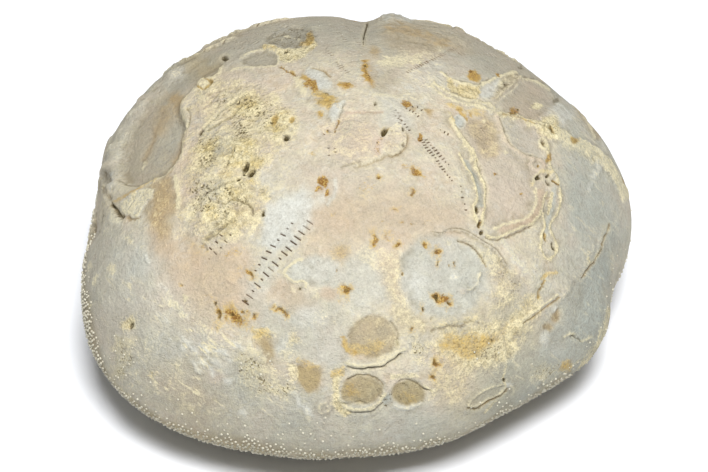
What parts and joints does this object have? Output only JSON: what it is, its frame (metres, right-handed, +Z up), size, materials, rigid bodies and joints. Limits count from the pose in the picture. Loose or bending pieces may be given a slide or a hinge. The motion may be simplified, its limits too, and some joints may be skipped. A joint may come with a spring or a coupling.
{
  "type": "fossil sea urchin",
  "caption": "Domed fossil heart urchin test with a notched front rim, petal pore rows, oyster scars and rims, a porous crust and a flat underside to rest on.",
  "frame": {"origin": "on the resting surface, under the middle of the body's box", "axes": "+Z up, +Y towards the front, where the sulcus notches the rim; -Y is the rear end"},
  "size_m": [0.097, 0.1002, 0.0491],
  "materials": {
    "weathered_stone": "matte weathered limestone, grey-beige with cream crust and rust spots"
  },
  "bodies": {
    "root": {"urchin_stone": "weathered_stone"}
  },
  "joints": []
}
